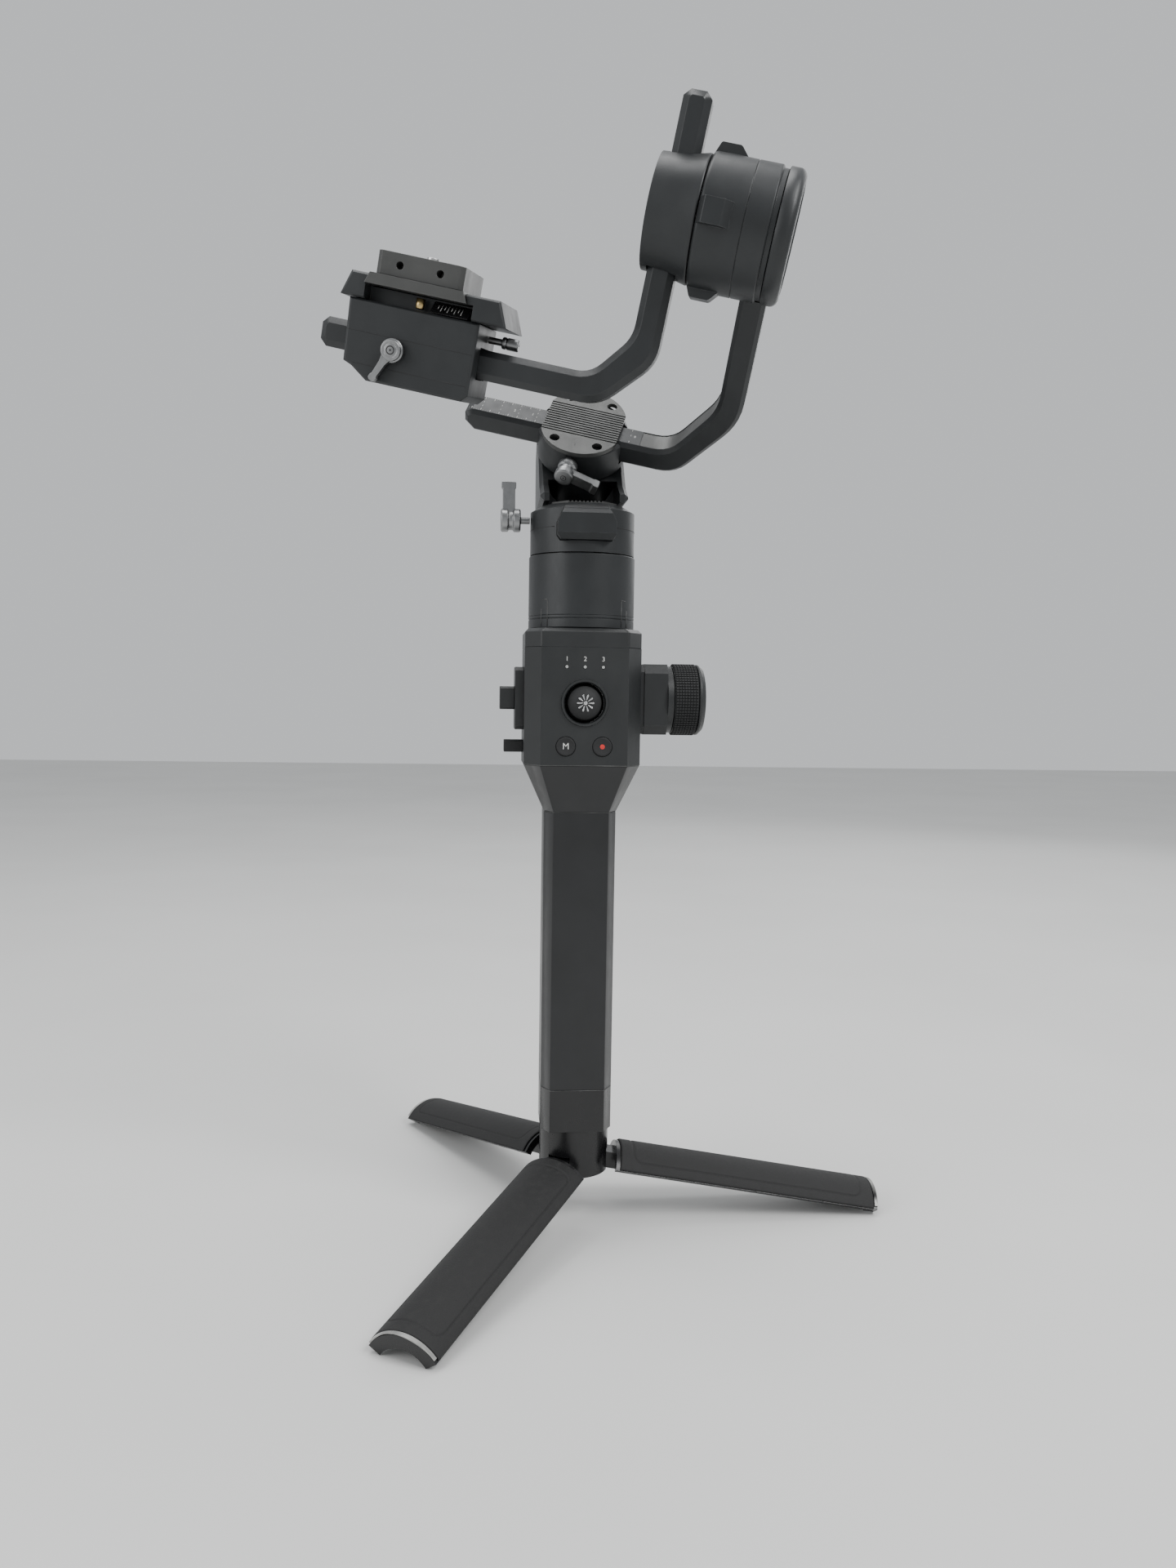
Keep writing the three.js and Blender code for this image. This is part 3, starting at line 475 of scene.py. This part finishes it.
def joystick():
    pivot = JOYSTICK_PIVOT - FRONT_FACE
    ball = []
    for i in range(10):
        t = math.radians(-20 + 50 * i / 9)
        ball.append((10 * math.cos(t), -pivot + 10 * math.sin(t)))
    dome = [(8.6, -1.6), (8.65, 0.2), (8.3, 1.7), (7.5, 3.1), (6.3, 4.3), (4.9, 5.2), (3.3, 5.7), (1.8, 5.9)]
    bm = bmesh.new()
    add_lathe(bm, [(0, ball[0][1])] + ball + dome + [(0, 5.95)], 96)
    place = on_front(0, JOYSTICK_HEIGHT)
    cap = finish_mesh("joystick_dome", bm, place, "joystick", KNOB_RUBBER)
    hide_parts("joystick_cap")

    bm = bmesh.new()
    for i in range(10):
        petal = [(1.5, -0.14), (2.8, -0.3), (4.0, -0.46), (4.4, -0.25), (4.5, 0), (4.4, 0.25), (4.0, 0.46),
                 (2.8, 0.3), (1.5, 0.14)]
        add_prism(bm, petal, 4.9, 6.0, spin("Z", 36 * i))
    add_lathe(bm, [(0, 5.6), (1.0, 5.6), (1.0, 6.0), (0.8, 6.1), (0, 6.1)], 24)
    finish_mesh("joystick_rosette", bm, place, "joystick", CHROME, 0.12)


def push_button(name, node, body, x):
    bm = bmesh.new()
    profile = [(0, -4.8), (6, -4.8), (6, -3.4), (5, -3.4), (5, 0.25), (4.75, 0.65), (4.3, 0.8), (3.9, 0.62),
               (0, 0.5)]
    add_lathe(bm, profile, 64)
    cap = finish_mesh(name, bm, on_front(x, BUTTON_HEIGHT), body, KNOB_RUBBER)
    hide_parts(node)


joystick()
push_button("mode_cap", "mode_button", "mode_key", -BUTTON_SIDE)
push_button("record_cap", "record_button", "record_key", BUTTON_SIDE)
lettering("mode_letter", "M", 4.6, on_front(-BUTTON_SIDE, BUTTON_HEIGHT, 0.6), "mode_key", WHITE_INK)
dot = bmesh.new()
add_prism(dot, circle(1.25), 0.45, 0.62)
finish_mesh("record_dot", dot, on_front(BUTTON_SIDE, BUTTON_HEIGHT), "record_key", RED_INK,
            0.05)
for number in (1, 2, 3):
    level_place = on_front(LEVEL_PITCH * (number - 2), LEVEL_HEIGHT, 0.02)
    lettering(f"level_{number}", str(number), 3.3, level_place, "handle", WHITE_INK)


def eight_sided(half_width, half_depth, bevel, bevel_depth):
    """A rectangle with its four corners cut off, about the origin."""
    corners = [(half_width - bevel, half_depth), (half_width, half_depth - bevel_depth)]
    right = corners + [(x, -y) for x, y in reversed(corners)]
    return right + [(-x, -y) for x, y in right]


def grip_seams():
    """Painted highlights: thin lighter rings round the joints of the housing, the collar and the grip's end,
    where the edges catch the light.
    """
    housing = eight_sided(30.78, 31.08, 8, 12)
    tube = eight_sided(19.26, 19.56, 4.6, 8)
    bm = bmesh.new()
    for outline, low, high in ((housing, 250.85, 251.2), (tube, 225.35, 225.6), (tube, 74.9, 75.1)):
        add_prism(bm, outline, low, high)
    finish_mesh("grip_seams", bm, GRIP_AXIS, "handle", PLATE_AND_HIGHLIGHT_GREY)


def housing_screws():
    """The rear cover's four screws, each with a socket in its head."""
    head = [(0, -1.5), (2.3, -1.5), (2.3, 0.12), (2.0, 0.3), (1.1, 0.3), (1.1, -0.5), (0, -0.5)]
    bm = bmesh.new()
    for x in (-18, 18):
        for z in (257, 305):
            add_lathe(bm, head, 32, Matrix.Translation((x, REAR_FACE, z)) @ spin("X", -90))
    finish_mesh("housing_screws", bm, GRIP_AXIS, "handle", STEEL, 0.05)


def trigger_ribs():
    """Seven ribs across the trigger's face, which bends where two flats meet."""
    bend_depth, bend_height = 41.6, 273
    bm = bmesh.new()
    for i in range(7):
        z = 279 - 2.2 * i
        slope = 0.075 if z > bend_height else 0.125
        depth = bend_depth + slope * (bend_height - z)
        add_box(bm, (-6.3, 6.3), (-0.3, 0.35), (-0.35, 0.35), Matrix.Translation((0, depth, z)))
    finish_mesh("trigger_ribs", bm, GRIP_AXIS, "trigger_key", KNOB_RUBBER)


grip_seams()
housing_screws()
trigger_ribs()


def focus_grip():
    """The wheel's rubber band, cut into small square pads."""
    wheel = GRIP_AXIS @ shift(30.7, 0, 285.7) @ ALONG_X
    bm = bmesh.new()
    add_lathe(bm, [(18.42, 19.0), (18.75, 19.0), (18.75, 31.2), (18.42, 31.2)], ROUND)
    around, rows = 76, 8
    pitch = 12.0 / rows
    for k in range(around):
        turn = spin("Z", 360 * k / around)
        for row in range(rows):
            low = 19.1 + row * pitch
            add_box(bm, (18.7, 19.3), (-0.52, 0.52), (low + 0.18, low + pitch - 0.18), turn)
    band = finish_mesh("focus_knurl", bm, wheel, "focus_dial", KNOB_RUBBER)
    for face in band.data.polygons:
        face.use_smooth = False
    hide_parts("focus_band")


focus_grip()


# ---------------------------------------------------------------- motors

def pan_motor():
    """The motor's cup, with its rim line and the printed lines on its front."""
    bm = bmesh.new()
    profile = [(8, 322), (27.7, 322), (28.3, 322.6), (28.3, 326.9), (27.9, 327.05), (27.9, 327.35),
               (28.3, 327.5), (28.3, 328.7), (28.05, 328.8), (28.05, 329.0), (28.3, 329.1), (28.3, 360.0),
               (27.9, 360.5), (25.3, 360.5), (25.3, 325), (8, 325)]
    add_lathe(bm, profile, ROUND)
    cup = finish_mesh("pan_motor_cup", bm, GRIP_AXIS, "handle", METAL, 0.12)
    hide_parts("pan_motor_housing")
    bm = bmesh.new()
    for side in (-1, 1):
        for azimuth, low, high, half in ((43, 323, 337, 0.22), (46, 336.6, 337, 1.8), (52, 323, 332, 0.22)):
            turn = spin("Z", side * azimuth)
            add_box(bm, (-half, half), (-28.42, -28.2), (low, high), turn)
    finish_mesh("pan_motor_lines", bm, GRIP_AXIS, "handle", PLATE_AND_HIGHLIGHT_GREY)


def pan_bar_lines():
    """Painted highlights: fine light lines on the chamfers round the front end of the pan arm's bar."""
    front, half = -28.6, 0.14
    bm = bmesh.new()
    corners = [(-13.2, 367), (-15, 369.4), (-15, 376), (-11, 384)]
    outline = corners + [(-x, z) for x, z in reversed(corners)]
    for (x0, z0), (x1, z1) in zip(outline, outline[1:]):
        length = math.hypot(x1 - x0, z1 - z0)
        across = Vector(((z1 - z0) / length, 0, -(x1 - x0) / length)) * half
        ends = [Vector((x0, front, z0)), Vector((x1, front, z1))]
        ring = [ends[0] - across, ends[1] - across, ends[1] + across, ends[0] + across]
        near = [bm.verts.new(v + Vector((0, half, 0))) for v in ring]
        far = [bm.verts.new(v - Vector((0, half, 0))) for v in ring]
        bm.faces.new(near)
        bm.faces.new(far[::-1])
        for i in range(4):
            bm.faces.new((near[i], near[(i + 1) % 4], far[(i + 1) % 4], far[i]))
    finish_mesh("pan_bar_lines", bm, GRIP_AXIS, "pan_slider", PLATE_AND_HIGHLIGHT_GREY)


pan_bar_lines()


def pan_clamp_seam():
    """The dark joint line round the two sides of the pan clamp."""
    bm = bmesh.new()
    steps = 30
    reach = 54   # degrees either side of the middle
    for middle in (0, 180):
        angles = [math.radians(middle - reach + 2 * reach * i / steps) for i in range(steps + 1)]
        outer = [(27.86 * math.cos(t), 27.86 * math.sin(t)) for t in angles]
        inner = [(27.6 * math.cos(t), 27.6 * math.sin(t)) for t in reversed(angles)]
        add_prism(bm, outer + inner, 373.9, 374.2)
    finish_mesh("pan_clamp_seam", bm, GRIP_AXIS, "pan_stage", JOINT_BLACK_AND_SHADE)


def tilt_motor():
    """The barrel with its four lugs, and the dished end cap."""
    bm = bmesh.new()
    profile = [(0, 16.5), (27.3, 16.5), (27.3, 14.3), (28.0, 14.2), (28.6, 13.6), (28.6, 3.25), (28.3, 3.15),
               (28.3, 2.85), (28.6, 2.75), (28.6, -15.4), (28.1, -16.6), (27.2, -17.2), (25, -17.2),
               (25, 11), (0, 11)]
    add_lathe(bm, profile, ROUND, ALONG_X)
    for turn in (0, 90, 180, 270):
        lug = spin("X", turn) @ spin("X", 90)
        outline = [(-17.0, 27.5), (-15.2, 31.6), (-14.6, 32.1), (-6.4, 32.1), (-5.6, 31.6), (-1.8, 27.5)]
        add_prism(bm, outline, -5.4, 5.4, lug)
    barrel = finish_mesh("tilt_motor_barrel", bm, TILT, "roll_slider", METAL, 0.25)
    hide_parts("tilt_motor_housing")
    bm = bmesh.new()
    profile = [(0, 16.8), (28.2, 16.8), (28.6, 17.2), (28.6, 21.6), (28.2, 22.7), (27.2, 23.8), (25.8, 24.5),
               (23.4, 24.6), (23.0, 24.1), (0, 24.0)]
    add_lathe(bm, profile, ROUND, ALONG_X)
    cap = finish_mesh("tilt_motor_end", bm, TILT, "roll_slider", METAL)
    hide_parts("tilt_motor_cap")


pan_motor()
pan_clamp_seam()
tilt_motor()


# ---------------------------------------------------------------- lock levers

def lever_frame(place, at, paddle, outward):
    """A lever's frame. Its paddle and its outward axis are directions within the frame given first."""
    turned = place.to_3x3()
    return axes_at(place @ Vector(at), turned @ Vector(paddle), turned @ Vector(outward))


def lock_lever(name, node, place, body, radius, length, stem, paddle):
    """A turned hub along local Z with a flat paddle along local X."""
    stem_radius, stem_length = stem
    reach, half, low, high = paddle
    waist = radius - 1.0
    bm = bmesh.new()
    hub = [(0, length), (radius - 0.9, length), (radius - 0.3, length - 0.25), (radius, length - 0.8),
           (radius, 0.66 * length), (waist, 0.6 * length), (waist, 0.4 * length), (radius, 0.34 * length),
           (radius, 0.7), (radius - 0.6, 0.1), (stem_radius, 0), (stem_radius, -stem_length), (0, -stem_length)]
    add_lathe(bm, hub, 64)
    flat = [(0, low + 0.5), (reach - 3.6, low + 0.5), (reach - 2.8, low), (reach - 0.4, low),
            (reach, low + 0.5), (reach, high - 0.5), (reach - 0.4, high), (reach - 2.8, high),
            (reach - 3.6, high - 0.7), (0, high - 0.7)]
    add_prism(bm, flat, -half, half, spin("X", 90))
    piece = finish_mesh(name, bm, place, body, SILVER, 0.35)
    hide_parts(node)
    # Painted shade: a flat black ring and hexagon on the hub's top stand in for the shaded gap round the screw
    # head and its socket.
    bm = bmesh.new()
    under, proud = length - 0.02, length + 0.04
    add_lathe(bm, [(1.25, under), (1.6, under), (1.6, proud), (1.25, proud)], 32)
    add_lathe(bm, [(0, under), (0.45, under), (0.45, proud), (0, proud)], 6)
    finish_mesh(name + "_screw", bm, place, body, JOINT_BLACK_AND_SHADE)


def base_lever():
    """The camera base's own lever: a flanged hub with a waisted arm."""
    tip = math.radians(27)
    place = lever_frame(TILT, (-0.1415, -0.0188, -0.0825), (-math.sin(tip), 0, -math.cos(tip)), (0, -1, 0))
    bm = bmesh.new()
    add_lathe(bm, [(0, 0), (4.4, 0), (4.4, 1.2), (5.2, 1.3), (5.4, 1.6), (5.4, 3.0), (5.1, 3.3), (4.7, 3.4),
                   (4.7, 4.9), (4.4, 5.2), (3.2, 5.2), (3.0, 5.0), (2.8, 5.2), (0, 5.2)], 72)
    arm = [(2.5, -2.7), (7, -1.6), (13.4, -1.35), (14.2, -1.8), (15.9, -1.7), (16.6, -0.8), (16.6, 0.8),
           (15.9, 1.7), (14.2, 1.8), (13.4, 1.35), (7, 1.6), (2.5, 2.7)]
    add_prism(bm, arm, 1.4, 4.6)
    piece = finish_mesh("base_lock_arm", bm, place, "base_lock", SILVER, 0.3)
    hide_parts("base_lever")
    # Painted shade: a flat black ring and hexagon on the hub's top stand in for the shaded gap round the screw
    # head and its socket.
    bm = bmesh.new()
    add_lathe(bm, [(1.5, 5.15), (2.0, 5.15), (2.0, 5.24), (1.5, 5.24)], 40)
    add_lathe(bm, [(0, 5.15), (0.5, 5.15), (0.5, 5.24), (0, 5.24)], 6)
    finish_mesh("base_lock_screw_shade", bm, place, "base_lock", JOINT_BLACK_AND_SHADE)


def plate_knob():
    """The turned knob that clamps the camera plate, along the tilt axis."""
    bm = bmesh.new()
    profile = [(0, -103.7), (1.6, -103.7), (1.6, -97), (2.5, -97), (2.8, -96.6), (2.8, -95.4), (2.5, -95.1),
               (2.5, -94.7), (2.8, -94.4), (2.8, -89.5), (2.4, -89), (0.8, -89), (0.7, -89.4), (0, -89.4)]
    add_lathe(bm, profile, 48, ALONG_X)
    knob = finish_mesh("plate_knob_turned", bm, TILT @ shift(0, 4, -68), "plate_lock", SILVER, 0.08)
    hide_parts("plate_knob")


plate_knob()
roll_tip = math.radians(16)
lock_lever("pan_lock_lever", "pan_lever",
           lever_frame(GRIP_AXIS, (-0.033, 0, 0.3795), (0, 0, 1), (-1, 0, 0)),
           "pan_lock", radius=6.1, length=10.6, stem=(1.8, 4.8), paddle=(20, 2.4, 2.6, 10.4))
lock_lever("roll_lock_lever", "roll_lever",
           lever_frame(ROLL, (-0.001, -0.0264, -0.008), (math.cos(roll_tip), 0, -math.sin(roll_tip)),
                       (0, -1, 0)),
           "roll_lock", radius=5, length=11.6, stem=(2, 6.2), paddle=(18.5, 3, 5.0, 10.2))
lock_lever("tilt_lock_lever", "tilt_lever",
           lever_frame(TILT, (-0.0295, 0.0272, 0), (0, 0, -1), (0, 1, 0)),
           "tilt_lock", radius=5, length=8.8, stem=(2.6, 1.4), paddle=(20, 3, 3.8, 8.6))
base_lever()


# ---------------------------------------------------------------- scales and small marks

def arm_ruler():
    """Printed ticks every 5 mm along both edges of the roll arm's bar, with finer ones between them."""
    level = -2.6
    bottom, top = level - 0.02, level + 0.04
    start = -25.5
    bm = bmesh.new()
    for i in range(8):
        x = start - 5 * i
        for side in (-1, 1):
            add_box(bm, (x - 0.14, x + 0.14), sorted((side * 5.6, side * 4.1)), (bottom, top))
        if i % 2 == 0:
            for y in (-2.2, 1.2):
                add_box(bm, (x - 0.1, x + 0.1), (y, y + 1.0), (bottom, top))
    for side in (-1, 1):
        for i in range(30):
            x = start - 1.25 * i
            add_box(bm, (x - 0.05, x + 0.05), sorted((side * 5.7, side * 5.1)), (bottom, top))
    for y in (-5.2, 0, 4.2):
        add_box(bm, (25.9, 26.15), (y, y + 1.2), (bottom, top))
    finish_mesh("arm_ruler_ticks", bm, ROLL, "roll_slider", WHITE_INK)
    for words, x in (("2", -38), ("1", -28)):
        place = ROLL @ shift(x, 0, level + 0.03)
        lettering("arm_ruler_" + words, words, 2.6, place, "roll_slider", WHITE_INK)
    lettering("arm_ruler_right", "0", 2.2, ROLL @ shift(28.3, 0.2, level + 0.03), "roll_slider", WHITE_INK)


def disc_index():
    """The index line on the roll clamp's disc."""
    bm = bmesh.new()
    add_box(bm, (-0.12, 0.12), (-20.5, -15.2), (-0.02, 0.03))
    finish_mesh("disc_index", bm, ROLL, "roll_stage", GREY_INK)


def stage_details():
    """The sloping scale with its ticks, the brass pin and the two seams on the camera base."""
    bm = bmesh.new()
    add_prism(bm, [(-10.8, -57), (-18.2, -62.5), (-10.6, -62.5)], -128, -110, spin("Z", 90) @ spin("X", 90))
    finish_mesh("stage_scale_face", bm, TILT, "camera_base", GLOSS, 0.2)
    slope = math.degrees(math.atan2(5.5, 7.4))
    face = TILT @ shift(-119, -14.5, -59.72) @ spin("X", slope)
    bm = bmesh.new()
    for i in range(8):
        x = -6 + 1.6 * i
        add_box(bm, (x - 0.13, x + 0.13), (-2.6 if i % 2 else -1.0, 2.4), (0.02, 0.08))
    finish_mesh("stage_scale_ticks", bm, face, "camera_base", WHITE_INK)
    bm = bmesh.new()
    add_lathe(bm, [(0, -62.2), (1.7, -62.2), (2.1, -61.8), (2.1, -57.6), (0, -57.6)], 40)
    finish_mesh("stage_pin", bm, TILT @ shift(-133.5, -15, 0), "camera_base", BRASS)
    bm = bmesh.new()
    for low, left in ((-77.1, -165.4), (-91.2, -160)):
        add_box(bm, (left, -105.2), (-18.56, -18.4), (low, low + 0.22))
    finish_mesh("stage_seams", bm, TILT, "camera_base", JOINT_BLACK_AND_SHADE)


arm_ruler()
disc_index()
stage_details()


# ---------------------------------------------------------------- camera, floor and light

CAMERA_AT = (-52.8, -641.8, 289.4)   # in millimetres from the foot of the grip's axis
CAMERA_LEAN = 5.16   # degrees the view swings to the right of +Y
CAMERA_PITCH = -4.45
CAMERA_ROLL = 0.89
FLOOR_REACH = 4000
LIGHT_TARGET = Vector((0, 0, 0.3))
LIGHTS = (
    ("key light", (0.9, -0.9, 1.5), 0.9, 26),
    ("fill light", (-1.5, -0.8, 0.9), 1.2, 14),
    ("rim light", (0.9, 1.4, 1.1), 1.2, 7),
    ("top light", (-0.2, 0.1, 1.7), 0.8, 12),
)   # name, place, size, power


def add_camera():
    lean = math.radians(CAMERA_LEAN)
    pitch = math.radians(CAMERA_PITCH)
    roll = math.radians(CAMERA_ROLL)
    ahead = Vector((math.sin(lean) * math.cos(pitch), math.cos(lean) * math.cos(pitch), math.sin(pitch)))
    right = Vector((math.cos(lean), -math.sin(lean), 0))
    up = right.cross(ahead)
    right, up = math.cos(roll) * right + math.sin(roll) * up, math.cos(roll) * up - math.sin(roll) * right
    data = bpy.data.cameras.new("camera")
    data.lens = 27.26
    data.sensor_width = 36
    data.clip_start = 0.01
    camera = bpy.data.objects.new("camera", data)
    bpy.context.scene.collection.objects.link(camera)
    camera.matrix_world = Matrix((right, up, -ahead)).transposed().to_4x4()
    camera.matrix_world.translation = GRIP_AXIS @ (Vector(CAMERA_AT) * MM)
    bpy.context.scene.camera = camera


def add_floor():
    look = Look("pale floor")
    tone = look.ramp(look.noise(3, 3), 0, 1)
    look.set(Base_Color=look.mix(tone, (0.62, 0.62, 0.61), (0.66, 0.66, 0.65)), Roughness=0.7)
    bm = bmesh.new()
    add_box(bm, (-FLOOR_REACH, FLOOR_REACH), (-FLOOR_REACH, FLOOR_REACH), (-10, 0))
    mesh = bpy.data.meshes.new("floor")
    bm.to_mesh(mesh)
    bm.free()
    mesh.transform(Matrix.Scale(MM, 4))
    mesh.materials.append(look.material)
    floor = bpy.data.objects.new("floor", mesh)
    bpy.context.scene.collection.objects.link(floor)


def add_light():
    world = bpy.data.worlds.new("studio")
    world.use_nodes = True
    sky = world.node_tree.nodes["Background"]
    sky.inputs["Color"].default_value = (0.86, 0.88, 0.9, 1)
    sky.inputs["Strength"].default_value = 0.75
    bpy.context.scene.world = world
    for name, place, size, power in LIGHTS:
        data = bpy.data.lights.new(name, "AREA")
        data.size = size
        data.energy = power
        lamp = bpy.data.objects.new(name, data)
        bpy.context.scene.collection.objects.link(lamp)
        lamp.location = place
        lamp.rotation_euler = (LIGHT_TARGET - lamp.location).to_track_quat("-Z", "Y").to_euler()


add_camera()
add_floor()
add_light()
